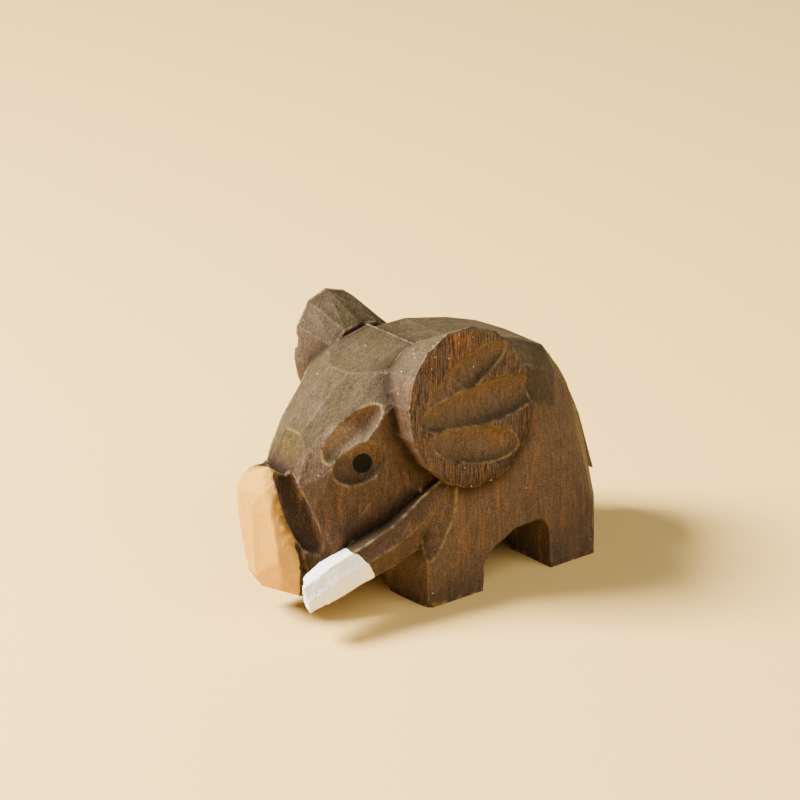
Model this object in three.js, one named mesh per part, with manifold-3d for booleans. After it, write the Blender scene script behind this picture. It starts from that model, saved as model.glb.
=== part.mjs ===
// A small elephant whittled from one block of wood: broad knife cuts over the head and back,
// gouge scoops for the ears, brows and eye hollows, and saw-flat outer faces on the ears.
// Units are millimetres, +Z up. The head faces -Y and the elephant's own left is +X.
import * as THREE from "three";
import { ConvexGeometry } from "three/addons/geometries/ConvexGeometry.js";
import { mergeVertices } from "three/addons/utils/BufferGeometryUtils.js";
import Module from "manifold-3d";

const wasm = await Module();
wasm.setup();

// Driving sizes: trunk to tail, ear face to ear face, and ground to ear tops
const length = 60.6;
const width = 26;
const height = 40.3;

// Gouge strokes: the widths left in the wood and how deep each goes
const earStroke = { wide: [4.6, 6, 5.4], deep: [1.3, 1.5, 1] };
const browStroke = { wide: 4.4, deep: 1.6 };
const eyeStroke = { wide: 6.2, deep: 1.3 };
const shoulderStroke = { wide: 4.6, deep: 1.5 };
const trunkStroke = { wide: 3.6, deep: 2.2 };

// Places are in percent: out from the middle plane as a share of half the width, along from mid-length
// to the tail as a share of the length, and up from the ground as a share of the height.
const outward = (share) => (share / 100) * (width / 2);
const lengthwise = (share) => (share / 100) * length;
const upward = (share) => (share / 100) * height;
const at = (out, along, up) => new THREE.Vector3(outward(out), lengthwise(along), upward(up));
const mirrored = (p) => new THREE.Vector3(-p.x, p.y, p.z);

function solidOf(geometry) {
  geometry.deleteAttribute("normal");
  geometry.deleteAttribute("uv");
  const merged = mergeVertices(geometry, 1e-5);
  return new wasm.Manifold(new wasm.Mesh({
    numProp: 3,
    vertProperties: merged.attributes.position.array,
    triVerts: new Uint32Array(merged.index.array),
  }));
}

function geometryOf(solid) {
  const mesh = solid.getMesh();
  const geometry = new THREE.BufferGeometry();
  geometry.setAttribute("position", new THREE.BufferAttribute(new Float32Array(mesh.vertProperties), 3));
  geometry.setIndex(new THREE.BufferAttribute(new Uint32Array(mesh.triVerts), 1));
  return geometry;
}

// The wood that flat knife cuts leave between these corners.
const block = (corners) => solidOf(new ConvexGeometry(corners));
const evenBlock = (corners) => block([...corners, ...corners.map(mirrored)]);

// One gouge stroke: it goes in at one point, comes out at the other and is hollow towards `facing`.
function stroke(from, to, facing, { wide, deep }) {
  const run = new THREE.Vector3().subVectors(to, from);
  const along = run.clone().normalize();
  const across = new THREE.Vector3().crossVectors(along, facing).normalize();
  const out = new THREE.Vector3().crossVectors(across, along);
  const frame = new THREE.Matrix4().makeBasis(
    across.multiplyScalar(wide / 2),
    run.clone().multiplyScalar(0.5),
    out.multiplyScalar(deep),
  );
  frame.setPosition(run.multiplyScalar(0.5).add(from));
  return solidOf(new THREE.SphereGeometry(1, 20, 12).applyMatrix4(frame));
}

// A cut straight through the wood, side to side or end to end, with this outline
function throughCut(outline, toSide) {
  const reach = 2 * Math.max(width, length);
  const cut = new THREE.ExtrudeGeometry(outline, { depth: reach, bevelEnabled: false, curveSegments: 5 });
  cut.translate(0, 0, -reach / 2);
  cut.rotateX(Math.PI / 2);
  if (toSide) cut.rotateZ(Math.PI / 2);
  return solidOf(cut);
}

// Body: rings of knife cuts from the chest over the back to the hind feet. Each ring starts on the
// middle plane, rounds over towards the hub and ends on the flank.

const hub = { along: 6.6, up: 19.9 };
const ringCuts = 4;
const ringStart = THREE.MathUtils.degToRad(18);
const rings = [
  { along: -15.9, up: 0, half: 90, rounding: 1, squareness: 4 },
  { along: -17.2, up: 29.8, half: 93.1, rounding: 2.5, squareness: 4 },
  { along: -19.8, up: 59.6, half: 76.9, rounding: 6, squareness: 3 },
  { along: -19, up: 76.9, half: 70.8, rounding: 9, squareness: 2.4 },
  { along: -11.6, up: 88.6, half: 83.1, rounding: 13, squareness: 2.7 },
  { along: 0, up: 88.1, half: 90.8, rounding: 15, squareness: 2.7 },
  { along: 12.4, up: 84.1, half: 94.6, rounding: 15, squareness: 2.5 },
  { along: 20.8, up: 80.1, half: 94.6, rounding: 15, squareness: 2.3 },
  { along: 29, up: 74.2, half: 94.6, rounding: 14, squareness: 2.1 },
  { along: 35.3, up: 62.5, half: 93.8, rounding: 12, squareness: 1.9 },
  { along: 39.1, up: 50.6, half: 93.8, rounding: 10, squareness: 1.7 },
  { along: 41.9, up: 36.2, half: 94.6, rounding: 8.5, squareness: 1.45 },
  { along: 44.4, up: 19.9, half: 94.6, rounding: 7.2, squareness: 1.25 },
  { along: 43.9, up: 0, half: 94.6, rounding: 6.6, squareness: 1.1 },
];

function makeBody() {
  const corners = [];
  for (const { along, up, half, rounding, squareness } of rings) {
    const top = at(0, along, up);
    const inward = new THREE.Vector3().subVectors(at(0, hub.along, Math.min(up, hub.up)), top).normalize();
    const share = (turn) => Math.max(0, Math.cos(turn)) ** (2 / squareness);
    for (let cut = 0; cut < ringCuts; cut += 1) {
      const turn = ringStart + (cut / (ringCuts - 1)) * (Math.PI / 2 - ringStart);
      const corner = top.clone().addScaledVector(inward, rounding * (share(ringStart) - share(turn)));
      corner.x = outward(half) * Math.sin(turn) ** (2 / squareness);
      corners.push(corner);
    }
  }
  return evenBlock(corners);
}

// Head: a wedge that narrows from the ears to the root of the trunk

function makeHead() {
  return evenBlock([
    // crown and forehead
    at(40, -9.9, 89.3),
    at(41.5, -16, 87.3),
    at(41.5, -21.8, 84.1),
    at(13.8, -25.8, 82.6),
    at(42.3, -30.4, 73.4),
    at(13.8, -32.4, 75.2),
    at(41.5, -35.3, 66),
    at(12.3, -39.1, 65.8),
    at(38.5, -37.6, 59.6),
    at(26.2, -40.1, 60),
    at(13.8, -41.9, 53.6),
    at(27.7, -40.6, 51.1),
    // temples and cheeks
    at(66.2, -8.3, 87.3),
    at(67.7, -16.5, 84.4),
    at(73.1, -20.8, 77.9),
    at(80, -15.9, 59.6),
    at(84.6, -12.6, 47.1),
    at(84.6, -12.6, 22.3),
    at(50.8, -36.7, 55.3),
    at(50.8, -37, 31),
    at(46.2, -35.5, 17.4),
    // muzzle
    at(27.7, -43.3, 48.4),
    at(35.4, -43.3, 29.8),
    at(33.8, -40.4, 14.9),
  ]);
}

// Trunk: its curled tip is a stubby upright bar in front of the muzzle, cut differently on each side

function makeTrunk() {
  return block([
    // front
    at(-31.5, -49.9, 45.9),
    at(-31.5, -49.5, 40.2),
    at(-31.5, -48.9, 31.8),
    at(-31.5, -47.7, 21.3),
    at(-31.5, -46.9, 14.9),
    at(-6.9, -49.9, 42.9),
    at(-3.8, -49.9, 23.3),
    at(-2.3, -49.5, 17.4),
    at(18.5, -48.9, 43.2),
    at(25.4, -48.2, 29.8),
    at(26.9, -47.9, 24.8),
    // top
    at(-31.5, -48.5, 49.6),
    at(-31.5, -45.9, 52.1),
    at(-32.3, -41.6, 52.9),
    at(6.2, -49.2, 47.6),
    at(4.6, -45.9, 54.1),
    at(20, -45.6, 53.6),
    // left side and underside
    at(33.1, -45.6, 34.7),
    at(28.5, -45.6, 16.9),
    at(20, -46.2, 12.4),
    at(30.8, -42.3, 9.9),
    at(-30, -43.6, 7.7),
    // root, inside the head
    at(-36.9, -35.5, 44.7),
    at(-33.8, -35.5, 8.9),
    at(33.8, -35.5, 10.4),
    at(36.9, -35.5, 44.7),
  ]);
}

// Tusks: whittled bars that run forward and down from under the ears. Each section has the height of
// its valley against the cheek, then how far out and how high its ridge, bulge and sole are.

const rearSections = [
  { along: -33.8, valley: 27.5, ridge: [81.5, 29.8], bulge: [89.2, 24.3], sole: [84.6, 17.1] },
  { along: -24.8, valley: 33.3, ridge: [85.4, 34.7], bulge: [92.3, 28.3], sole: [87.7, 20.1] },
  { along: -17.5, valley: 40.9, ridge: [89.2, 42.2], bulge: [94.6, 34.2], sole: [90, 24.3] },
  { along: -9.6, valley: 48.1, ridge: [92.3, 49.1], bulge: [95.4, 44.7], sole: [92.3, 37.2] },
];
const tusks = [
  {
    side: 1,
    sections: [
      { along: -48.7, valley: 22.3, ridge: [76.9, 21.3], bulge: [85.4, 16.6], sole: [82.3, 12.4] },
      { along: -41.9, valley: 25.3, ridge: [78.5, 26.1], bulge: [86.9, 20.8], sole: [83.1, 14.1] },
      ...rearSections,
    ],
  },
  {
    side: -1,
    sections: [
      { along: -39.5, valley: 24.3, ridge: [75.4, 23.8], bulge: [81.5, 19.9], sole: [78.5, 14.4] },
      ...rearSections,
    ],
  },
];
const tuskInside = 56.9;
const tipLead = 1.3;

function makeTusk({ side, sections }) {
  const corners = sections.map(({ along, valley, ridge, bulge, sole }) => [
    at(side * ridge[0], along, ridge[1]),
    at(side * bulge[0], along, bulge[1]),
    at(side * sole[0], along, sole[1]),
    at(side * tuskInside, along, valley),
    at(side * tuskInside, along, sole[1]),
  ]);
  // the tip is sharpened from the inside
  const { along, ridge, bulge, sole } = sections[0];
  const tip = [
    at(side * ridge[0], along - tipLead, ridge[1]),
    at(side * bulge[0], along - tipLead / 2, bulge[1]),
    at(side * sole[0], along, sole[1]),
    at(side * tuskInside, along + 2 * tipLead, ridge[1]),
    at(side * tuskInside, along + 2 * tipLead, sole[1]),
  ];
  let tusk = block([...tip, ...corners[1]]);
  for (let i = 1; i < corners.length - 1; i += 1) tusk = tusk.add(block([...corners[i], ...corners[i + 1]]));
  return tusk;
}

// Ears: thick oval slabs whose outer faces are the flat sides of the block. The right one is smaller.

const ears = [
  {
    side: 1,
    middle: { along: -5.1, up: 70.5 },
    half: { along: 18, up: 30 },
    lean: -3.6,
    facets: 16,
    strokes: [
      { from: [-17.3, 75.9], to: [4.9, 90.3] },
      { from: [-19.8, 70.5], to: [16.5, 70.5] },
      { from: [-16.4, 62.5], to: [9.2, 51.4] },
    ],
  },
  {
    side: -1,
    middle: { along: -8.1, up: 69 },
    half: { along: 12.9, up: 28.8 },
    lean: -4.1,
    facets: 14,
    strokes: [
      { from: [-17.5, 76.9], to: [-0.7, 87.3] },
      { from: [-18.8, 70], to: [7.6, 69.5] },
      { from: [-15.9, 61], to: [2.6, 52.6] },
    ],
  },
];
const earRoot = { out: 46.2, narrower: 0.04, narrowerTop: 0.12, lowerTop: 0.28 };

function makeEar({ side, middle, half, lean, facets }) {
  const corners = [];
  for (let facet = 0; facet < facets; facet += 1) {
    const turn = ((facet + 0.5) / facets) * Math.PI * 2;
    const rise = Math.sin(turn);
    const along = half.along * Math.cos(turn) + lean * rise;
    const up = half.up * rise;
    const top = Math.max(0, rise);
    const inAlong = along * (1 - earRoot.narrower - earRoot.narrowerTop * top);
    const inUp = up * (1 - earRoot.lowerTop * top);
    corners.push(at(side * 100, middle.along + along, middle.up + up));
    corners.push(at(side * earRoot.out, middle.along + inAlong, middle.up + inUp));
  }
  return block(corners);
}

function earStrokes({ side, strokes }) {
  return strokes.map(({ from, to }, i) => stroke(
    at(side * 100, ...from),
    at(side * 100, ...to),
    new THREE.Vector3(side, 0, 0),
    { wide: earStroke.wide[i], deep: earStroke.deep[i] },
  ));
}

// Tail: a narrow ridge down the rump, undercut at its tip

function makeTail() {
  return evenBlock([
    at(9.2, 29.2, 73.9),
    at(12.3, 35.1, 66.5),
    at(13.1, 40.2, 55.1),
    at(13.8, 44.4, 40.7),
    at(12.3, 48, 23.3),
    at(10.8, 50, 17.1),
    at(12.3, 48.5, 13.4),
    at(15.4, 37.9, 13.4),
    at(15.4, 26.4, 62),
  ]);
}

function tailNotch() {
  return block([
    at(-20, 42.6, 23.1),
    at(-20, 51, 15.9),
    at(-20, 49.5, 8.9),
    at(23.1, 42.2, 23.8),
    at(23.1, 51, 15.9),
    at(23.1, 49.5, 8.9),
  ]);
}

// The belly arch, side to side, and the notch that parts the left feet from the right ones

function bellyArch() {
  const arch = new THREE.Shape();
  arch.moveTo(lengthwise(0.1), -upward(3));
  arch.lineTo(lengthwise(0.6), upward(8.9));
  arch.quadraticCurveTo(lengthwise(1.3), upward(14.9), lengthwise(5.3), upward(16.6));
  arch.lineTo(lengthwise(9.6), upward(19.9));
  arch.lineTo(lengthwise(16.5), upward(20.3));
  arch.quadraticCurveTo(lengthwise(19.8), upward(18.9), lengthwise(20.1), upward(12.4));
  arch.lineTo(lengthwise(20.8), -upward(3));
  return throughCut(arch, true);
}

function footNotch() {
  const notch = new THREE.Shape();
  notch.moveTo(-outward(36), -upward(3));
  notch.lineTo(outward(36), -upward(3));
  notch.lineTo(0, upward(11.4));
  return throughCut(notch, false);
}

// Strokes on the head and shoulders, the same on both sides except beside the trunk

function headStrokes() {
  const strokes = [];
  for (const side of [1, -1]) {
    strokes.push(stroke(
      at(62.3 * side, -24.8, 75.4),
      at(45.4 * side, -39.6, 57.6),
      new THREE.Vector3(0.8 * side, -0.35, 0.5),
      browStroke,
    ));
    strokes.push(stroke(
      at(67.7 * side, -24.6, 58.1),
      at(51.5 * side, -36.8, 54.6),
      new THREE.Vector3(0.94 * side, -0.3, 0),
      eyeStroke,
    ));
    strokes.push(stroke(
      at(96.2 * side, -7.6, 46.2),
      at(92.3 * side, -19.5, 11.4),
      new THREE.Vector3(0.86 * side, -0.5, 0),
      shoulderStroke,
    ));
  }
  strokes.push(stroke(at(7.7, -45.2, 57.6), at(53.1, -40.3, 22.1), new THREE.Vector3(0.5, -0.87, 0), trunkStroke));
  strokes.push(stroke(at(-32.3, -43.3, 53.6), at(-50.8, -41.6, 23.8), new THREE.Vector3(-0.8, -0.6, 0), trunkStroke));
  return strokes;
}

function makeCarving() {
  let wood = makeBody();
  for (const mass of [makeHead(), makeTrunk(), makeTail(), ...tusks.map(makeTusk)]) wood = wood.add(mass);
  for (const cut of [bellyArch(), footNotch(), tailNotch(), ...headStrokes()]) wood = wood.subtract(cut);
  for (const ear of ears) {
    wood = wood.add(makeEar(ear));
    for (const cut of earStrokes(ear)) wood = wood.subtract(cut);
  }
  return wood;
}

const carving = new THREE.Mesh(
  geometryOf(makeCarving()),
  new THREE.MeshStandardMaterial({ color: 0x6b5238, roughness: 0.6, metalness: 0 }),
);
carving.name = "elephant_carving";

const elephant = new THREE.Group();
elephant.add(carving);
export default elephant;
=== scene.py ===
import bpy
import bmesh
import numpy as np
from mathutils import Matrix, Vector


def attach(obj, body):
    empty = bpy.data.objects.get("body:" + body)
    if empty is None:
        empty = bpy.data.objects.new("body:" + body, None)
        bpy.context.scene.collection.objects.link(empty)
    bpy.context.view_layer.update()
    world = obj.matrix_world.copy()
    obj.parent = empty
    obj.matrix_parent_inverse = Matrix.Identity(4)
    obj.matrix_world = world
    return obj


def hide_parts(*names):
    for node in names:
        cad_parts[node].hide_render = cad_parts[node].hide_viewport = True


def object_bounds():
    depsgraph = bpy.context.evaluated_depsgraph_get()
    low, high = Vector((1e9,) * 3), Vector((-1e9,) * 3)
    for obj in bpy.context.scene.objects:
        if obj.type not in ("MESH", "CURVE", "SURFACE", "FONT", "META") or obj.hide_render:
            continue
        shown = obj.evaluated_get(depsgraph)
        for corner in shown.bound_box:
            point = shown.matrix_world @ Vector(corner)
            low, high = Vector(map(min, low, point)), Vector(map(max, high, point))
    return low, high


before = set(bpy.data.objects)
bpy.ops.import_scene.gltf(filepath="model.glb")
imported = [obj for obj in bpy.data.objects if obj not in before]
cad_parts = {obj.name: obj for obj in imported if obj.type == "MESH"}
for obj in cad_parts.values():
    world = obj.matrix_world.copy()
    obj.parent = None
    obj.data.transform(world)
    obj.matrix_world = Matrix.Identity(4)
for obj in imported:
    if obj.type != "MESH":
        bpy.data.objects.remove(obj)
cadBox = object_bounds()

# The frame is in metres, and the sizes below are in millimetres.
mm = 0.001

# The least length that anything is divided by
tiny = 1e-12

# Odd whole numbers that stir a cell's place and the seed into its fixed number
stirring = {
    "cell": (374761393, 668265263, 2147483647),
    "seed": (7919, 17),
    "last": 1274126177,
}


# A fixed number from -1 to 1 for each cell, mixed from its three whole numbers and the seed.
def cellNumbers(cell, seed):
    factor, added = stirring["seed"]
    whole = np.uint32(seed * factor + added)
    for axis, factor in enumerate(stirring["cell"]):
        whole = whole + cell[:, axis].astype(np.uint32) * np.uint32(factor)
    whole = (whole ^ (whole >> np.uint32(13))) * np.uint32(stirring["last"])
    whole = whole ^ (whole >> np.uint32(16))
    return whole.astype(float) / 2 ** 31 - 1.0


# Smooth noise: the eight numbers round a point, blended by its place in their cell.
def fieldNoise(points, seed):
    base = np.floor(points)
    part = points - base
    fade = part ** 3 * (part * (part * 6 - 15) + 10)
    base = base.astype(np.int64)
    total = np.zeros(len(points))
    for corner in range(8):
        away = np.array([corner & 1, (corner >> 1) & 1, (corner >> 2) & 1])
        share = np.where(away, fade, 1 - fade).prod(axis=1)
        total += share * cellNumbers(base + away, seed)
    return total


# Noise in layers, each twice as fine and half as strong as the last, and set off by a part of a cell.
def layeredNoise(points, seed, layers=3):
    offset = 7.3
    total = sum(fieldNoise(points * 2 ** i + offset * i, seed + i) / 2 ** i for i in range(layers))
    return total / (2 - 2 ** (1 - layers))


# Shallow cuts side by side: the squared distance to the nearest of the scattered cut middles, which is
# hollow round each one with a ridge where two meet, and a fixed number for each cut. A middle lies in the
# middle of its cell, give or take the scatter.
def knifeCuts(points, seed):
    scatter, farAway = 0.4, 9.0
    base = np.floor(points).astype(np.int64)
    nearest = np.full(len(points), farAway)
    tone = np.zeros(len(points))
    for i in range(27):
        cell = base + np.array([i % 3 - 1, i // 3 % 3 - 1, i // 9 - 1])
        middle = cell + 0.5 + scatter * np.stack([cellNumbers(cell, seed + k) for k in range(3)], 1)
        gap = ((points - middle) ** 2).sum(1)
        closer = gap < nearest
        nearest = np.where(closer, gap, nearest)
        tone = np.where(closer, cellNumbers(cell, seed + 3), tone)
    return nearest, tone


# 0 below low, 1 above high and a smooth step between.
def ramp(value, low, high):
    part = np.clip((value - low) / (high - low), 0, 1)
    return part * part * (3 - 2 * part)


# 1 at nothing, falling like a bell and almost gone at two widths.
def bell(distance, width):
    return np.exp(-(distance / width) ** 2)


# 1 at the middle, falling like a bell in all directions, with a radius along each axis.
def bump(points, middle, radius):
    return np.exp(-(((points - middle) / radius) ** 2).sum(1))


# The net of triangles that the carving's surface is laid on: lengths in mm, angles in degrees
net = {
    "doubles": 0.001,
    "longestSide": 0.56,
    "flat": 4.0,
    "splinterWidth": 0.02,
    "leastFace": 1e-7,
    "pastHalfTurn": 1e-3,
    "firstTurns": 30,
    "laterTurns": 8,
    "evening": 10,
    "edgeAngle": 8.0,
    "creaseAngle": 38.0,
    "edgeFace": 0.02,
    "edgeLength": 0.05,
}


# The solid's triangles with their doubles merged.
def mergedSolid(node):
    work = bmesh.new()
    work.from_mesh(node.data)
    bmesh.ops.remove_doubles(work, verts=work.verts, dist=net["doubles"] * mm)
    bmesh.ops.triangulate(work, faces=work.faces)
    mesh = bpy.data.meshes.new("mergedSolid")
    work.to_mesh(mesh)
    work.free()
    return mesh


# A mesh's points in mm, one row each.
def pointsOf(mesh):
    points = np.empty(len(mesh.vertices) * 3)
    mesh.vertices.foreach_get("co", points)
    return points.reshape(-1, 3) / mm


# The points that each edge or triangle joins, one row each.
def joinedBy(parts, size):
    joined = np.empty(len(parts) * size, np.int64)
    parts.foreach_get("vertices", joined)
    return joined.reshape(-1, size)


# Each side of the net once: its two ends, the corner across it in each of its two triangles, the places of
# the two in the list of sides, and its key, which is one number made from its ends.
def sidesOf(faces, count):
    starts = faces.T.ravel()
    ends = faces[:, [1, 2, 0]].T.ravel()
    across = faces[:, [2, 0, 1]].T.ravel()
    keys = np.minimum(starts, ends) * count + np.maximum(starts, ends)
    order = np.argsort(keys, kind="stable")
    one, other = order[::2], order[1::2]
    side = np.stack([starts[one], ends[one], across[one], across[other]], 1)
    return side, np.stack([one, other], 1), keys[one]


# The normals of triangles, each as long as twice the triangle's area: the cross product of two sides.
def crossOf(points, first, second, third):
    return np.cross(points[second] - points[first], points[third] - points[first])


# For each side of the net: its points, the cosine of the angle between its two triangles' normals, whether
# it stands out, and the doubled areas of the two. It stands out where the far corner of one triangle lies
# behind the plane of the other.
def bentSides(points, faces):
    side, slot, _ = sidesOf(faces, len(points))
    normals = crossOf(points, *faces.T)
    areas = np.linalg.norm(normals, axis=1)
    normals /= np.maximum(areas, tiny)[:, None]
    owner = slot % len(faces)
    first, second = normals[owner[:, 0]], normals[owner[:, 1]]
    standsOut = ((points[side[:, 3]] - points[side[:, 0]]) * first).sum(1) < 0
    return side, (first * second).sum(1), standsOut, areas[owner]


# The solid's edges where two triangles meet at more than the smallest angle: their ends, and the angle of the
# bend, positive where it stands out and negative in a crease. Very short edges and splinters are left out.
def knifeEdges(solid):
    points, faces = pointsOf(solid), joinedBy(solid.polygons, 3)
    side, cosine, standsOut, areas = bentSides(points, faces)
    ends = points[side[:, :2]]
    bend = np.degrees(np.arccos(np.clip(cosine, -1, 1)))
    keep = (bend > net["edgeAngle"]) & (areas > net["edgeFace"]).all(1)
    keep &= np.linalg.norm(ends[:, 1] - ends[:, 0], axis=1) > net["edgeLength"]
    return ends[keep], np.where(standsOut, bend, -bend)[keep]


# For each point, how far the nearest straight edge is and which one it is. The squared gap is that of point
# and start, less twice their run along the edge, plus the run's own square, and is worked out in parts.
def nearestEdge(points, ends):
    partSize = 4000
    leastSquare = 1e-9
    start, run = ends[:, 0], ends[:, 1] - ends[:, 0]
    squared = np.maximum((run ** 2).sum(1), leastSquare)
    startAlong = (start * run).sum(1)
    reach = np.empty(len(points))
    which = np.empty(len(points), np.int64)
    for part in np.array_split(np.arange(len(points)), 1 + len(points) // partSize):
        spot = points[part]
        along = spot @ run.T - startAlong
        place = np.clip(along / squared, 0, 1)
        gap = ((spot ** 2).sum(1)[:, None] - 2 * spot @ start.T + (start ** 2).sum(1)
               - 2 * place * along + place ** 2 * squared)
        best = gap.argmin(1)
        which[part] = best
        reach[part] = np.sqrt(np.maximum(gap[np.arange(len(part)), best], 0))
    return reach, which


# Each value moves halfway to the mean of its neighbours, a few times.
def smoothed(values, edges, rounds):
    count = np.bincount(edges.ravel(), minlength=len(values))
    for _ in range(rounds):
        columns = [np.bincount(edges[:, 0], column[edges[:, 1]], len(values))
                   + np.bincount(edges[:, 1], column[edges[:, 0]], len(values))
                   for column in values.reshape(len(values), -1).T]
        mean = np.stack(columns, 1) / count[:, None]
        values = 0.5 * values + 0.5 * mean.reshape(values.shape)
    return values


# Turns the side between two triangles that lie flat to each other, or of which one is a splinter, where the
# two angles facing it add up to more than a half turn. Of turns that share a triangle the widest is made.
# The side runs from a to b, and o and q are the corners across it.
def turnThin(points, faces, passes):
    count = len(points)
    flattest = np.cos(np.radians(net["flat"]))
    for _ in range(passes):
        side, slot, keys = sidesOf(faces, count)
        a, b, o, q = side.T
        owner = slot % len(faces)
        old = (crossOf(points, a, b, o), crossOf(points, b, a, q))
        new = (crossOf(points, o, a, q), crossOf(points, q, b, o))
        common = old[0] + old[1]
        common /= np.maximum(np.linalg.norm(common, axis=1), tiny)[:, None]
        length = np.linalg.norm(points[b] - points[a], axis=1)
        fine = np.ones(len(side), bool)
        for normal in old:
            size = np.linalg.norm(normal, axis=1)
            splinter = size < net["splinterWidth"] * length
            fine &= ((normal * common).sum(1) > flattest * size) | splinter
        for normal in new:
            size = np.linalg.norm(normal, axis=1)
            fine &= ((normal * common).sum(1) > flattest * size) & (size > net["leastFace"])
        wide = np.zeros(len(side))
        for corner in (o, q):
            u, v = points[a] - points[corner], points[b] - points[corner]
            wide += np.arctan2(np.linalg.norm(np.cross(u, v), axis=1), (u * v).sum(1))
        newKeys = np.minimum(o, q) * count + np.maximum(o, q)
        fine &= (wide > np.pi + net["pastHalfTurn"]) & (o != q) & ~np.isin(newKeys, keys)
        chosen = np.flatnonzero(fine)
        if not len(chosen):
            break
        chosen = chosen[np.argsort(-wide[chosen], kind="stable")]
        rank = np.arange(len(chosen))
        best = np.full(len(faces), len(chosen))
        for i in range(2):
            np.minimum.at(best, owner[chosen, i], rank)
        chosen = chosen[(best[owner[chosen, 0]] == rank) & (best[owner[chosen, 1]] == rank)]
        chosen = chosen[np.unique(newKeys[chosen], return_index=True)[1]]
        a, b, o, q = side[chosen].T
        faces = faces.copy()
        faces[owner[chosen, 0]] = np.stack([o, a, q], 1)
        faces[owner[chosen, 1]] = np.stack([q, b, o], 1)
    return faces


# Halves every side longer than the longest allowed. A triangle with one, two or three halved sides becomes
# two, three or four, the second kind across its shorter diagonal. Its corners are a, b and c, and the
# middles of its sides are m, n and k.
def halveLong(points, faces):
    side, slot, _ = sidesOf(faces, len(points))
    long = np.linalg.norm(points[side[:, 0]] - points[side[:, 1]], axis=1) > net["longestSide"]
    middle = np.full(3 * len(faces), -1)
    middle[slot[long].T] = len(points) + np.arange(long.sum())
    points = np.concatenate([points, (points[side[long, 0]] + points[side[long, 1]]) / 2])
    middle = middle.reshape(3, -1).T
    has = middle >= 0
    halved = has.sum(1)
    turn = np.select([halved == 1, halved == 2], [has.argmax(1), (has.argmin(1) + 1) % 3], 0)
    pick = (turn[:, None] + np.arange(3)) % 3
    a, b, c = np.take_along_axis(faces, pick, 1).T
    m, n, k = np.take_along_axis(middle, pick, 1).T
    shorter = np.linalg.norm(points[a] - points[n], axis=1) <= np.linalg.norm(points[m] - points[c], axis=1)
    kinds = (
        (halved == 0, (a, b, c)),
        (halved == 1, (a, m, c, m, b, c)),
        ((halved == 2) & shorter, (m, b, n, a, m, n, a, n, c)),
        ((halved == 2) & ~shorter, (m, b, n, a, m, c, m, n, c)),
        (halved == 3, (a, m, k, m, b, n, k, n, c, m, n, k)),
    )
    parts = [np.stack([corner[chosen] for corner in corners], 1).reshape(-1, 3) for chosen, corners in kinds]
    return points, np.concatenate(parts), long.sum()


# The solid's surface on an even net of triangles, with every knife edge kept as a side: sides are halved and
# turned until none is too long, and then the points off the edges move halfway to their neighbours' mean.
def refinedMesh(solid):
    points = pointsOf(solid)
    faces = turnThin(points, joinedBy(solid.polygons, 3), net["firstTurns"])
    left = 1
    while left:
        points, faces, left = halveLong(points, faces)
        faces = turnThin(points, faces, net["laterTurns"])
    side, cosine, standsOut, _ = bentSides(points, faces)
    sharpest = np.cos(np.radians(np.where(standsOut, net["edgeAngle"], net["creaseAngle"])))
    onEdge = np.unique(side[cosine < sharpest, :2])
    for _ in range(net["evening"]):
        moved = smoothed(points, side[:, :2], 1)
        moved[onEdge] = points[onEdge]
        points = moved
    mesh = bpy.data.meshes.new("carvedWood")
    mesh.from_pydata((points * mm).tolist(), [], faces.tolist())
    return mesh


# The fine relief: lengths in mm, angles in degrees and grains to the mm. A pair of numbers is where a smooth
# step starts and ends. Those of upright and raspSide are how far a normal one long reaches up or sideways.
carve = {
    "hollow": 0.06,
    "hollowWidth": 1.2,
    "waver": 0.05,
    "waverSize": (3.2, 3.2, 4.5),
    "waverAtEdge": 0.4,
    "cutDepth": 0.16,
    "cutSize": (5.5, 6.5, 6.0),
    "cutLevel": 0.4,
    "cutFromEdge": (0.0, 1.2),
    "cutFromCrease": (0.0, 1.0),
    "fibreDepth": 0.05,
    "fibreGrain": (1.3, 1.3, 0.13),
    "fineGrain": (2.3, 2.3, 0.3),
    "fineShare": 0.7,
    "upright": (0.45, 0.8),
    "sawDepth": 0.16,
    "nickDepth": 0.34,
    "nickSize": 2.2,
    "nickChance": (0.18, 0.5),
    "nickWidth": 0.5,
    "nickLeast": 0.15,
    "nickSides": (11.6, 12.6),
    "nickFeet": (-1.2, -0.4),
    "whittleDepth": 0.2,
    "whittleSize": (1.5, 3.2, 1.5),
    "whittleLevel": 0.5,
    "whittleFade": (-0.1, 0.3),
    "raspDepth": 0.17,
    "raspGrain": (1.6, 1.6, 1.1),
    "raspSide": (0.45, 0.75),
    "bareFade": 0.5,
    "slipDepth": 0.2,
    "slipWidth": 0.2,
    "sharpAngle": 45.0,
    "sharpLeast": 0.35,
    "deepAngle": 60.0,
    "deepLeast": 0.2,
    "sole": (-0.25, -0.02),
    "wearWidth": 0.3,
    "slipWear": 0.8,
    # the painted shade in the creases: how wide it is and how fast it falls off
    "creaseWidth": 1.5,
    "creaseFall": 1.5,
    "facetShare": 0.6,
    "facetTurn": 2.6,
    "facetDrift": 0.02,
    "footEdge": (-1.1, -0.2),
    "footEdgeWidth": 0.5,
    # where painted shade darkens the muzzle and cheeks, the ears' front rims and the far ear
    "shadeForward": (7.0, 13.0),
    "shadeBelow": (21.0, 26.0),
    "shadeRim": 0.7,
    "shadeFarEar": 0.6,
    "farEarSide": (6.5, 8.5),
    "farEarUp": (24.0, 27.0),
}

# Each kind of mark takes the noise of its own seed.
seeds = {
    "waver": 11, "fibre": 16, "fineFibre": 17, "nick": 20, "facet": 31,
    "bare": 41, "cuts": 51, "white": 61, "whittle": 71, "rasp": 81,
}

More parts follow.
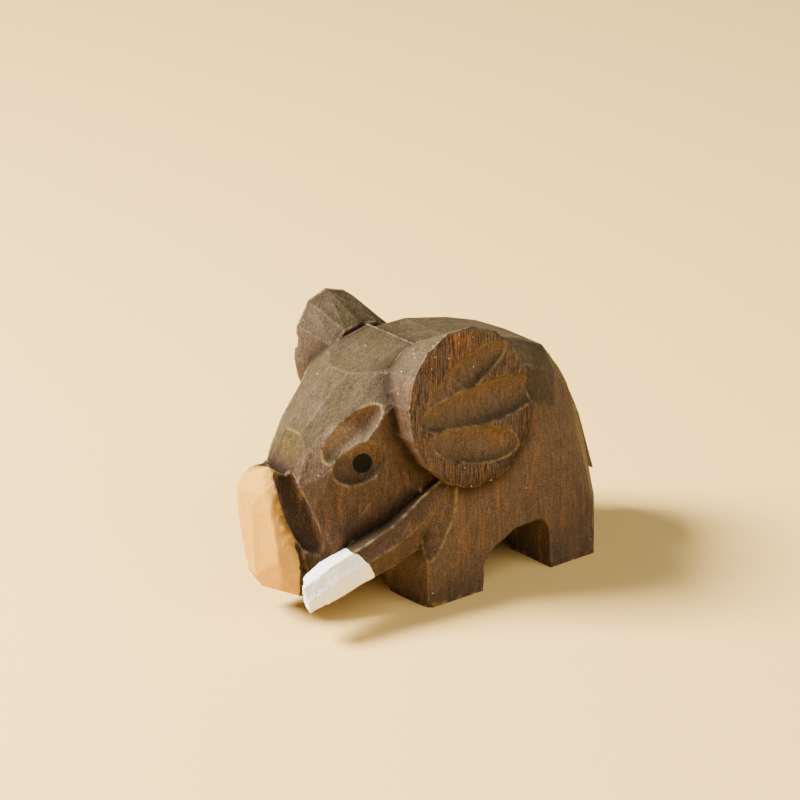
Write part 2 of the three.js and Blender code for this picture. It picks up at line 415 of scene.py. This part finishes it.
# Slips of the knife, from one end to the other: beside the left ear, at the root of the trunk, on the cheek
slips = (
    ((12.45, -13.95, 31.2), (12.15, -13.3, 25.6)),
    ((12.95, -11.9, 30.8), (12.6, -11.3, 28.0)),
    ((3.0, -25.3, 22.2), (3.7, -24.7, 21.0)),
    ((9.7, -12.1, 20.2), (8.6, -16.2, 18.2)),
    ((8.4, -16.5, 17.2), (7.9, -18.1, 14.9)),
    ((12.6, -1.0, 21.0), (12.5, 3.4, 22.6)),
)

# Where the carver left or put other colours, in mm: the sawn faces, the eye dot, the white tusk tips, the
# bare trunk tip, the patch on the forehead and where dust lies; and where light and shade are painted: a
# painted highlight in the brow hollow and painted shade along the ears' front rims. Borders are a row of
# heights or places and a row of how far back the border lies, or how wide the cheek is, at each. A wander is
# how far a border strays and its grains to the mm. A groove is its two ends, the way it faces, its width and
# its depth.
marks = {
    "sawnReach": (12.75, 12.93),
    "sawnFacing": (0.8, 0.97),
    "eye": (6.87, -17.25, 22.28),
    "eyeRadius": 1.38,
    "tuskBorder": ((7.5, 9.0, 11.2, 12.2), (-18.8, -19.5, -21.2, -22.9)),
    "rightTuskShift": (3.6, 0.9),
    "tuskTop": 13.4,
    "tuskWander": (0.35, 0.9),
    "leftCheek": 7.0,
    "rightCheek": ((-24.0, -20.0, -16.0), (7.0, 8.2, 9.2)),
    "trunkBorder": ((9.0, 12.0), (-26.0, -26.9)),
    "trunkWander": (0.25, 1.3),
    "trunkGrooves": (
        ((1.0, -27.41, 23.2), (6.9, -24.41, 8.9), (0.5, -0.87, 0.0), 3.6, 2.2),
        ((-4.2, -26.21, 21.6), (-6.6, -25.21, 9.6), (-0.8, -0.6, 0.0), 3.6, 2.2),
    ),
    "foreheadPatch": ((-0.2, -24.4, 25.0), (3.6, 2.6, 3.0)),
    # where the painted highlight in the brow hollow lies
    "brow": ((5.6, -19.6, 26.0), (2.2, 3.2, 2.4)),
    "shadedEarRim": ((10.8, -13.6, 30.0), (4.0, 1.5, 8.0)),
    "earTopDust": ((9.6, -8.6, 38.0), (4.0, 4.5, 3.0)),
    "earFaceDust": ((13.0, -2.5, 23.5), (1.0, 2.0, 1.4)),
    "earFaceDustShare": 0.5,
}


# The vertex normals, evened out with their neighbours' a few times and made one long again.
def unitNormals(mesh, edges, rounds):
    mesh.update()
    values = np.empty(len(mesh.vertices) * 3, np.float32)
    mesh.vertex_normals.foreach_get("vector", values)
    values = smoothed(values.reshape(-1, 3).astype(float), edges, rounds)
    return values / np.linalg.norm(values, axis=1)[:, None]


# One number for each point, under a name that the material reads.
def addNumbers(mesh, name, values):
    mesh.attributes.new(name, "FLOAT", "POINT").data.foreach_set("value", values.astype(np.float32))


# How far outside a gouge stroke each point is: its length in the stroke's own long round shape.
def outsideStroke(points, start, end, facing, wide, deep):
    start, end, facing = map(np.array, (start, end, facing))
    run = end - start
    along = run / np.linalg.norm(run)
    across = np.cross(along, facing)
    across /= np.linalg.norm(across)
    out = np.cross(across, along)
    away = points - (start + end) / 2
    length = np.sqrt((away @ across / (wide / 2)) ** 2 + (away @ along / (np.linalg.norm(run) / 2)) ** 2
                     + (away @ out / deep) ** 2)
    return (length - 1) * wide / 2


# How far inside the bare tip of the trunk each point is: in front of its border or outside the grooves,
# whichever is less, with a border that wanders.
def insideBare(points, grooves):
    stray, grain = marks["trunkWander"]
    inside = np.minimum(grooves, np.interp(points[:, 2], *marks["trunkBorder"]) - points[:, 1])
    return inside + stray * layeredNoise(points * grain, seeds["bare"])


# How far inside the white paint each point is: in front of the border across the tusk, outside the cheek
# and below the tusk's top, whichever is least. The right tusk is shorter, and so its border is shifted.
def insideWhite(points):
    stray, grain = marks["tuskWander"]
    left = points[:, 0] > 0
    border = np.interp(points[:, 2], *marks["tuskBorder"])
    shift, scale = marks["rightTuskShift"]
    border = np.where(left, border, border * scale + shift)
    cheek = np.where(left, marks["leftCheek"], np.interp(points[:, 1], *marks["rightCheek"]))
    onTusk = np.minimum(np.abs(points[:, 0]) - cheek, marks["tuskTop"] - points[:, 2])
    inFront = border - points[:, 1] + stray * layeredNoise(points * grain, seeds["white"])
    return np.minimum(inFront, onTusk)


# How much painted shade darkens the paint, from 0 to 1: far forward and low down on the head, along the front
# rims of the ears and on the far ear, whichever is most.
def paintedShadeOf(points):
    mirrored = np.abs(points * [1, 0, 0]) + points * [0, 1, 1]
    head = ramp(-points[:, 1], *carve["shadeForward"]) * (1 - ramp(points[:, 2], *carve["shadeBelow"]))
    rim = carve["shadeRim"] * bump(mirrored, *marks["shadedEarRim"])
    farEar = carve["shadeFarEar"] * ramp(-points[:, 0], *carve["farEarSide"])
    return np.maximum(np.maximum(head, rim), farEar * ramp(points[:, 2], *carve["farEarUp"]))


# Works the fine relief into the surface and notes for the paint where its marks are. Each point goes in
# along its normal by the sum of the hollow of its facet, the waver of the blade, small cuts, wood fibres,
# saw marks, slips, whittling, rasping and nicks on the edges, but not on the soles.
def carveRelief(mesh, knife, bend):
    points, edges = pointsOf(mesh), joinedBy(mesh.edges, 2)
    normals = unitNormals(mesh, edges, 2)
    side, sideways, upwards = np.abs(points[:, 0]), np.abs(normals[:, 0]), np.abs(normals[:, 2])

    # the nearest edge that stands out, the nearest crease and the nearest slip
    proud = bend > 0
    toEdge, edge = nearestEdge(points, knife[proud])
    sharpness = np.clip(bend[proud][edge] / carve["sharpAngle"], carve["sharpLeast"], 1)
    hollowed = bend < -net["creaseAngle"]
    toCrease, crease = nearestEdge(points, knife[hollowed])
    depth = np.clip(-bend[hollowed][crease] / carve["deepAngle"], carve["deepLeast"], 1)
    toSlip, _ = nearestEdge(points, np.array(slips))

    # what kind of surface each point is on
    sole = ramp(-points[:, 2], *carve["sole"])
    sawn = ramp(side, *marks["sawnReach"]) * ramp(sideways, *marks["sawnFacing"])
    grooves = np.min([outsideStroke(points, *groove) for groove in marks["trunkGrooves"]], 0)
    bare = insideBare(points, grooves)
    white = insideWhite(points)
    upright = 1 - ramp(upwards, *carve["upright"])
    painted = ramp(-bare, -carve["bareFade"], carve["bareFade"])

    # hollow facets, the waver of the blade and small cuts
    atEdge = carve["waverAtEdge"]
    hollow = carve["hollow"] * (1 - bell(toEdge, carve["hollowWidth"]))
    waver = carve["waver"] * layeredNoise(points / carve["waverSize"], seeds["waver"])
    waver *= atEdge + (1 - atEdge) * ramp(toEdge, 0, 1)
    gap, cutTone = knifeCuts(points / carve["cutSize"], seeds["cuts"])
    cuts = carve["cutDepth"] * (carve["cutLevel"] - gap) * ramp(toEdge, *carve["cutFromEdge"])
    cuts = cuts * ramp(toCrease, *carve["cutFromCrease"]) * (1 - sawn)

    # fibres on upright wood, and deeper ones where the saw tore them
    fibre = fieldNoise(points * carve["fibreGrain"], seeds["fibre"])
    fibre += carve["fineShare"] * fieldNoise(points * carve["fineGrain"], seeds["fineFibre"])
    saw = carve["sawDepth"] * sawn * (0.5 + 0.5 * fibre)
    grain = carve["fibreDepth"] * upright * (1 - sawn) * (0.5 + 0.5 * fibre) * painted

    # nicks, most of them on the outer edges and round the feet, and slips of the knife
    roughEdge = carve["nickLeast"] + ramp(side, *carve["nickSides"]) + ramp(-points[:, 2], *carve["nickFeet"])
    nick = ramp(layeredNoise(points / carve["nickSize"], seeds["nick"], 2), *carve["nickChance"])
    nick *= bell(toEdge, carve["nickWidth"])
    nick *= sharpness * np.clip(roughEdge, 0, 1) * painted
    slip = carve["slipDepth"] * bell(toSlip, carve["slipWidth"])

    # the whittled tusk tips and the rasped sides of the bare wood
    whittled, _ = knifeCuts(points / carve["whittleSize"], seeds["whittle"])
    whittled = carve["whittleDepth"] * (carve["whittleLevel"] - whittled) * ramp(white, *carve["whittleFade"])
    besideTip = ramp(sideways, *carve["raspSide"])
    rasped = carve["raspDepth"] * fieldNoise(points * carve["raspGrain"], seeds["rasp"])
    rasped = rasped * ramp(bare, 0, carve["bareFade"]) * besideTip

    inward = hollow + waver + cuts + saw + grain + slip + whittled + rasped + carve["nickDepth"] * nick
    moved = points - normals * (inward * (1 - sole))[:, None]
    low, high = (np.array(corner) / mm for corner in cadBox)
    mesh.vertices.foreach_set("co", (np.clip(moved, low, high) * mm).ravel())

    worn = np.maximum(bell(toEdge, carve["wearWidth"]) * sharpness,
                      carve["slipWear"] * bell(toSlip, carve["slipWidth"]))
    facet = fieldNoise(normals * carve["facetTurn"] + points * carve["facetDrift"], seeds["facet"])
    dust = bump(points, *marks["earTopDust"])
    numbers = {
        "wear": worn,
        # painted shade in the creases: how near a crease is and how deep it is
        "crease": np.exp(-(toCrease / carve["creaseWidth"]) ** carve["creaseFall"]) * depth,
        # painted shade round the muzzle, the ears' front rims and the far ear
        "paintedShade": paintedShadeOf(points),
        "sawn": sawn,
        "facet": carve["facetShare"] * facet + (1 - carve["facetShare"]) * cutTone,
        "facingUp": normals[:, 2],
        "bare": bare,
        "toGroove": grooves,
        "white": white,
        "besideTip": besideTip,
        "patch": bump(points, *marks["foreheadPatch"]),
        "brow": bump(points, *marks["brow"]),
        "footEdge": ramp(-points[:, 2], *carve["footEdge"]) * bell(toEdge, carve["footEdgeWidth"]),
        "dust": dust + marks["earFaceDustShare"] * bump(points, *marks["earFaceDust"]),
    }
    for name, values in numbers.items():
        addNumbers(mesh, name, values)


solid = mergedSolid(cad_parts["elephant_carving"])
knife, bend = knifeEdges(solid)
wood = refinedMesh(solid)
print("carving: refined to", len(wood.polygons), "faces,", len(knife), "knife edges")
carveRelief(wood, knife, bend)
wood.polygons.foreach_set("use_smooth", np.ones(len(wood.polygons), bool))
carving = bpy.data.objects.new("elephantWood", wood)
bpy.context.scene.collection.objects.link(carving)
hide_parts("elephant_carving")
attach(carving, "root")
print("carving: relief done")


# The paint: colours, shares from 0 to 1, and the two tables that its noises and smooth steps take
paint = {
    "umber": (0.092, 0.062, 0.043),
    "shadowUmber": (0.012, 0.005, 0.002),
    # khaki stands for painted light on what faces up, and is also the grain in the white paint
    "khaki": (0.056, 0.041, 0.0180),
    "lightKhaki": (0.057, 0.0415, 0.0138),
    # a painted highlight for the brow hollow
    "browHighlight": (0.190, 0.142, 0.098),
    "thinnedPaint": (0.175, 0.085, 0.042),
    "sawnFace": (0.100, 0.069, 0.058),
    "wornEdge": (0.26, 0.185, 0.10),
    "footEdge": (0.38, 0.20, 0.075),
    "dust": (0.75, 0.70, 0.60),
    "white": (0.98, 0.975, 0.96),
    "bareWood": (0.66, 0.345, 0.029),
    # the ochre of the tip's sides, partly stain and partly painted shade
    "bareSide": (0.44, 0.245, 0.058),
    "bareStain": (0.115, 0.060, 0.018),
    "eye": (0.004, 0.004, 0.005),
    "facetTone": 0.3,
    # how strongly the painted shade darkens the paint
    "paintedShadeShare": 0.4,
    "specksToMm": 1.7,
    "speckChance": 0.93,
    "dustShare": 0.5,
    "eyeBlur": 0.06,
    "eyeRoughness": 0.5,
    "specular": 0.09,
    "bumpDepth": 0.34,
    "fibreRelief": 0.5,
    "mottleRelief": 0.3,
    "sawnFineRelief": 1.2,
    "speckleRelief": 0.35,
}

# Grains to the mm along each axis, detail, roughness and twist
grains = {
    "fibres": ((3.4, 3.4, 0.26), 4, 0.6, 0.0),
    "fineFibres": ((6.0, 6.0, 0.5), 3, 0.6, 0.0),
    "brushed": ((2.4, 0.22, 1.2), 4, 0.6, 0.0),
    "blotches": ((0.22, 0.22, 0.16), 3, 0.5, 0.0),
    "mottle": ((1.1, 1.1, 0.8), 4, 0.65, 0.0),
    "thin": ((0.55, 0.55, 0.12), 4, 0.6, 0.4),
    "speckle": ((5.0, 5.0, 4.0), 2, 0.7, 0.0),
    "rubbing": ((0.5, 0.5, 0.5), 3, 0.55, 0.0),
}

# Where each smooth step starts and ends, and what it gives at its start and at its end
steps = {
    # painted light: how far what faces up turns to khaki
    "paintedLightAbove": (0.05, 0.75, 0.0, 0.85),
    "khakiBlotches": (0.35, 0.7, -0.22, 0.22),
    "patch": (0.40, 0.50, 0.0, 0.8),
    "brow": (0.25, 0.75, 0.0, 0.7),
    "thin": (0.52, 0.72, 0.0, 1.0),
    "thinBelow": (-0.2, 0.5, 0.75, 0.12),
    "thinOnSawn": (0.45, 0.68, 0.0, 0.55),
    "darkFibres": (0.30, 0.62, 0.76, 1.14),
    "darkSawnFibres": (0.38, 0.62, 0.34, 1.4),
    "brushed": (0.3, 0.7, 0.82, 1.14),
    "brushedAbove": (0.3, 0.7, 0.0, 1.0),
    "mottle": (0.25, 0.75, 0.8, 1.2),
    "speckle": (0.3, 0.7, 0.62, 1.42),
    "creaseMottle": (0.2, 0.6, 0.55, 1.0),
    "wear": (0.12, 1.0, 0.0, 0.8),
    "wearRubbing": (0.38, 0.62, 0.1, 1.0),
    "wearAbove": (-0.3, 0.4, 0.45, 1.0),
    "footRubbing": (0.53, 0.6, 0.0, 1.0),
    "speck": (0.08, 0.2, 1.0, 0.0),
    "bareSideMottle": (0.3, 0.65, 0.5, 1.0),
    "bareFibres": (0.35, 0.65, 0.35, 0.0),
    "stain": (0.1, 1.6, 0.9, 0.0),
    "stainMottle": (0.3, 0.6, 0.3, 1.0),
    "bare": (-0.12, 0.12, 0.0, 1.0),
    "whiteFibres": (0.45, 0.75, 0.0, 0.16),
    "white": (-0.05, 0.05, 0.0, 1.0),
    "roughness": (0.25, 0.75, 0.46, 0.66),
}


# A new material with its tree of nodes and its shader.
def startMaterial(name):
    material = bpy.data.materials.new(name)
    material.use_nodes = True
    return material, material.node_tree, material.node_tree.nodes["Principled BSDF"]


# A node with its settings made, and its inputs linked or set by name or number.
def addNode(tree, kind, inputs=(), **settings):
    made = tree.nodes.new("ShaderNode" + kind)
    for name, value in settings.items():
        setattr(made, name, value)
    for name, value in dict(inputs).items():
        if isinstance(value, bpy.types.NodeSocket):
            tree.links.new(value, made.inputs[name])
        else:
            made.inputs[name].default_value = value
    return made


# The number that the relief noted for each point under this name.
def noted(tree, name):
    return addNode(tree, "Attribute", attribute_name=name).outputs["Fac"]


# Two numbers added, or multiplied or compared, and held between 0 and 1 where that is asked for.
def sums(tree, how, first, second, limit=False):
    return addNode(tree, "Math", {0: first, 1: second}, operation=how, use_clamp=limit).outputs[0]


# First and second added.
def plus(tree, first, second, limit=False):
    return sums(tree, "ADD", first, second, limit)


# First and second multiplied.
def times(tree, first, second):
    return sums(tree, "MULTIPLY", first, second)


# The smooth step of this name: one number before its start, another after its end.
def step(tree, name, value):
    low, high, least, most = steps[name]
    return addNode(tree, "MapRange", {0: value, 1: low, 2: high, 3: least, 4: most},
                   interpolation_type="SMOOTHSTEP").outputs[0]


# The first colour where the share is 0, the second where it is 1 and a mixture between.
def mixed(tree, share, first, second):
    values = {0: share}
    for place, colour in ((6, first), (7, second)):
        values[place] = (*colour, 1) if isinstance(colour, tuple) else colour
    return addNode(tree, "Mix", values, data_type="RGBA", blend_type="MIX", clamp_factor=True).outputs[2]


# The same for two numbers.
def between(tree, share, first, second):
    return addNode(tree, "Mix", {0: share, 2: first, 3: second}).outputs[0]


# The noise of this name, whose grain is stretched differently along each axis.
def noiseOn(tree, where, name):
    stretch, detail, roughness, twist = grains[name]
    spread = addNode(tree, "Mapping", {"Vector": where, "Scale": stretch}).outputs[0]
    return addNode(tree, "TexNoise", {"Vector": spread, "Scale": 1.0, "Detail": detail,
                                      "Roughness": roughness, "Distortion": twist}).outputs[0]


# Thin brown paint: umber below and, as painted light from above, greyer khaki on what faces up, a little
# different on every cut, with painted shade round the muzzle and ears and a painted highlight in the brow
# hollow, and rubbed thin over the raw wood.
def brownPaintWithPaintedLight(tree, noise, up, sawn):
    # painted light: what faces up is turned to greyer khaki for the light from above; the cut tones and
    # blotches are the paint's own
    topLightAndTone = plus(tree, step(tree, "paintedLightAbove", up), times(tree, noted(tree, "facet"), paint["facetTone"]))
    topLightAndTone = plus(tree, topLightAndTone, step(tree, "khakiBlotches", noise["blotches"]), True)
    colour = mixed(tree, topLightAndTone, paint["umber"], paint["khaki"])
    # painted shade: darker round the muzzle and cheeks, the ears' front rims and the far ear
    colour = mixed(tree, times(tree, noted(tree, "paintedShade"), paint["paintedShadeShare"]), colour, paint["shadowUmber"])
    colour = mixed(tree, step(tree, "patch", noted(tree, "patch")), colour, paint["lightKhaki"])
    # painted highlight: the brow hollow made paler where light from above falls into it
    colour = mixed(tree, step(tree, "brow", noted(tree, "brow")), colour, paint["browHighlight"])
    colour = mixed(tree, sawn, colour, paint["sawnFace"])
    rubbed = times(tree, step(tree, "thin", noise["thin"]), step(tree, "thinBelow", up))
    rubbed = plus(tree, rubbed, times(tree, sawn, step(tree, "thinOnSawn", noise["thin"])), True)
    return mixed(tree, rubbed, colour, paint["thinnedPaint"])


# How light the paint is: dark fibre lines down the upright sides, brush lines along the back, strong fibres
# on the sawn faces, all times a soft and a fine mottle.
def shading(tree, noise, up, sawn):
    dark = step(tree, "darkFibres", noise["fibres"])
    darkSawn = step(tree, "darkSawnFibres", noise["fineFibres"])
    shade = between(tree, step(tree, "brushedAbove", up), dark, step(tree, "brushed", noise["brushed"]))
    shade = between(tree, sawn, shade, times(tree, darkSawn, dark))
    shade = times(tree, shade, step(tree, "mottle", noise["mottle"]))
    return times(tree, shade, step(tree, "speckle", noise["speckle"]))


# Creases are painted dark as shade, edges are worn light, the feet's edges are rubbed bare in places, and
# specks of dust lie where the noted dust raises their chance.
def shadeWearAndDust(tree, noise, up, where, colour):
    # painted shade: creases darkened towards shadow umber
    crease = times(tree, noted(tree, "crease"), step(tree, "creaseMottle", noise["mottle"]))
    colour = mixed(tree, crease, colour, paint["shadowUmber"])
    wear = times(tree, step(tree, "wear", noted(tree, "wear")), step(tree, "wearRubbing", noise["rubbing"]))
    colour = mixed(tree, times(tree, wear, step(tree, "wearAbove", up)), colour, paint["wornEdge"])
    foot = times(tree, noted(tree, "footEdge"), step(tree, "footRubbing", noise["rubbing"]))
    colour = mixed(tree, foot, colour, paint["footEdge"])
    specks = addNode(tree, "TexVoronoi", {"Vector": where, "Scale": paint["specksToMm"]})
    likely = plus(tree, specks.outputs["Color"], times(tree, noted(tree, "dust"), paint["dustShare"]))
    chosen = sums(tree, "GREATER_THAN", likely, paint["speckChance"])
    speck = step(tree, "speck", specks.outputs["Distance"])
    return mixed(tree, times(tree, speck, chosen), colour, paint["dust"])


# The bare trunk tip: pale on its front, ochre on its side, which is partly stain and partly painted shade
# where the sides are less lit than the front, and stained towards the groove.
def bareTip(tree, noise):
    # partly painted shade: the sides of the tip, less lit than the front, take the darker ochre
    bareSide = times(tree, noted(tree, "besideTip"), step(tree, "bareSideMottle", noise["mottle"]))
    colour = mixed(tree, bareSide, paint["bareWood"], paint["bareSide"])
    colour = mixed(tree, step(tree, "bareFibres", noise["fibres"]), colour, paint["bareSide"])
    stain = step(tree, "stain", noted(tree, "toGroove"))
    stain = times(tree, stain, step(tree, "stainMottle", noise["mottle"]))
    return mixed(tree, stain, colour, paint["bareStain"])


# 1 within the eye dots and 0 outside: the distance to the left one, with the right side folded over to it.
def eyeDots(tree, where):
    sideways = addNode(tree, "VectorMath", {0: where}, operation="ABSOLUTE").outputs[0]
    sideways = addNode(tree, "SeparateXYZ", {0: sideways}).outputs[0]
    straight = addNode(tree, "SeparateXYZ", {0: where}).outputs
    folded = addNode(tree, "CombineXYZ", {0: sideways, 1: straight[1], 2: straight[2]}).outputs[0]
    toEye = addNode(tree, "VectorMath", {0: folded, 1: marks["eye"]}, operation="DISTANCE").outputs["Value"]
    radius, blur = marks["eyeRadius"], paint["eyeBlur"]
    return addNode(tree, "MapRange", {0: toEye, 1: radius - blur, 2: radius + blur, 3: 1, 4: 0},
                   interpolation_type="SMOOTHSTEP").outputs[0]


# How high the finest grain stands: fibres and mottle, or two fibres on the sawn faces, and fine speckle.
def fineRelief(tree, noise, sawn):
    plain = plus(tree, times(tree, noise["fibres"], paint["fibreRelief"]),
                 times(tree, noise["mottle"], paint["mottleRelief"]))
    torn = plus(tree, noise["fibres"], times(tree, noise["fineFibres"], paint["sawnFineRelief"]))
    relief = between(tree, sawn, plain, torn)
    return plus(tree, relief, times(tree, noise["speckle"], paint["speckleRelief"]))


# The carving's only material: brown paint times its shading, then painted shade in the creases, wear and
# dust, the bare trunk tip, the white tusk tips and the eye dots, each over the last.
def paintedWood():
    material, tree, shader = startMaterial("paintedWood")
    place = addNode(tree, "TexCoord").outputs["Object"]
    where = addNode(tree, "VectorMath", {0: place, 3: 1 / mm}, operation="SCALE").outputs[0]
    noise = {name: noiseOn(tree, where, name) for name in grains}
    up = noted(tree, "facingUp")
    sawn = noted(tree, "sawn")

    colour = brownPaintWithPaintedLight(tree, noise, up, sawn)
    shade = shading(tree, noise, up, sawn)
    colour = addNode(tree, "VectorMath", {0: colour, 3: shade}, operation="SCALE").outputs[0]
    colour = shadeWearAndDust(tree, noise, up, where, colour)
    colour = mixed(tree, step(tree, "bare", noted(tree, "bare")), colour, bareTip(tree, noise))
    white = mixed(tree, step(tree, "whiteFibres", noise["fineFibres"]), paint["white"], paint["khaki"])
    colour = mixed(tree, step(tree, "white", noted(tree, "white")), colour, white)
    eye = eyeDots(tree, where)
    colour = mixed(tree, eye, colour, paint["eye"])
    tree.links.new(colour, shader.inputs["Base Color"])

    rough = between(tree, eye, step(tree, "roughness", noise["mottle"]), paint["eyeRoughness"])
    tree.links.new(rough, shader.inputs["Roughness"])
    shader.inputs["Specular IOR Level"].default_value = paint["specular"]
    bumps = addNode(tree, "Bump", {"Height": fineRelief(tree, noise, sawn), "Strength": 1.0,
                                   "Distance": paint["bumpDepth"] * mm}).outputs[0]
    tree.links.new(bumps, shader.inputs["Normal"])
    return material


wood.materials.clear()
wood.materials.append(paintedWood())
print("paint: done")


floor = {
    "size": 2400.0,
    "colour": (0.82, 0.55, 0.175),
    "roughness": 0.95,
    "specular": 0.1,
}

# Where each light shines from, how far off and how wide it is, and its power in watts
light = {
    "keyTowards": (-0.42, -0.62, 0.78),
    "keyDistance": 620.0,
    "keySize": 240.0,
    "keyPower": 21.5,
    "keyColour": (1.0, 0.95, 0.88),
    "topTowards": (0.64, 0.05, 0.75),
    "topDistance": 700.0,
    "topSize": 520.0,
    "topPower": 4.0,
    "topColour": (1.0, 0.96, 0.90),
    "worldColour": (0.80, 0.91, 1.0),
    "worldStrength": 0.12,
}

# The camera fitted to the photo: its place, the direction from what it sees back to it, and the angle it
# takes in. It sees nothing nearer or farther than its two clips, in metres.
camera = {
    "place": (391.26, -333.18, 232.43),
    "back": (0.71026, -0.59598, 0.37461),
    "fieldOfView": 11.38,
    "nearClip": 0.05,
    "farClip": 20.0,
}


# A plain square of pale floor, centred under the carving.
def plainFloor():
    material, _, shader = startMaterial("paleFloor")
    shader.inputs["Base Color"].default_value = (*floor["colour"], 1)
    shader.inputs["Roughness"].default_value = floor["roughness"]
    shader.inputs["Specular IOR Level"].default_value = floor["specular"]
    half = floor["size"] * mm / 2
    corners = [(-half, -half, 0), (half, -half, 0), (half, half, 0), (-half, half, 0)]
    ground = bpy.data.meshes.new("floor")
    ground.from_pydata(corners, [], [(0, 1, 2, 3)])
    ground.materials.append(material)
    thing = bpy.data.objects.new("floor", ground)
    bpy.context.scene.collection.objects.link(thing)


# A square light at a distance in one direction from the carving, turned to face it.
def softLight(name, towards, distance, size, power, colour):
    lamp = bpy.data.lights.new(name, "AREA")
    lamp.size = size * mm
    lamp.energy = power
    lamp.color = colour
    thing = bpy.data.objects.new(name, lamp)
    towards = Vector(towards).normalized()
    thing.location = towards * distance * mm
    thing.rotation_euler = towards.to_track_quat("Z", "Y").to_euler()
    bpy.context.scene.collection.objects.link(thing)


# An even glow from all round.
def softRoom():
    world = bpy.data.worlds.new("softRoom")
    world.use_nodes = True
    sky = world.node_tree.nodes["Background"]
    sky.inputs["Color"].default_value = (*light["worldColour"], 1)
    sky.inputs["Strength"].default_value = light["worldStrength"]
    bpy.context.scene.world = world


# The camera at its place, turned so that its back points where it should.
def fittedCamera():
    lens = bpy.data.cameras.new("camera")
    lens.lens_unit = "FOV"
    lens.angle = np.radians(camera["fieldOfView"])
    lens.clip_start = camera["nearClip"]
    lens.clip_end = camera["farClip"]
    thing = bpy.data.objects.new("camera", lens)
    thing.location = Vector(camera["place"]) * mm
    thing.rotation_euler = Vector(camera["back"]).to_track_quat("Z", "Y").to_euler()
    bpy.context.scene.collection.objects.link(thing)
    bpy.context.scene.camera = thing


plainFloor()
for name in ("key", "top"):
    softLight(name, *(light[name + part] for part in ("Towards", "Distance", "Size", "Power", "Colour")))
softRoom()
fittedCamera()
print("floor, light and camera: done")
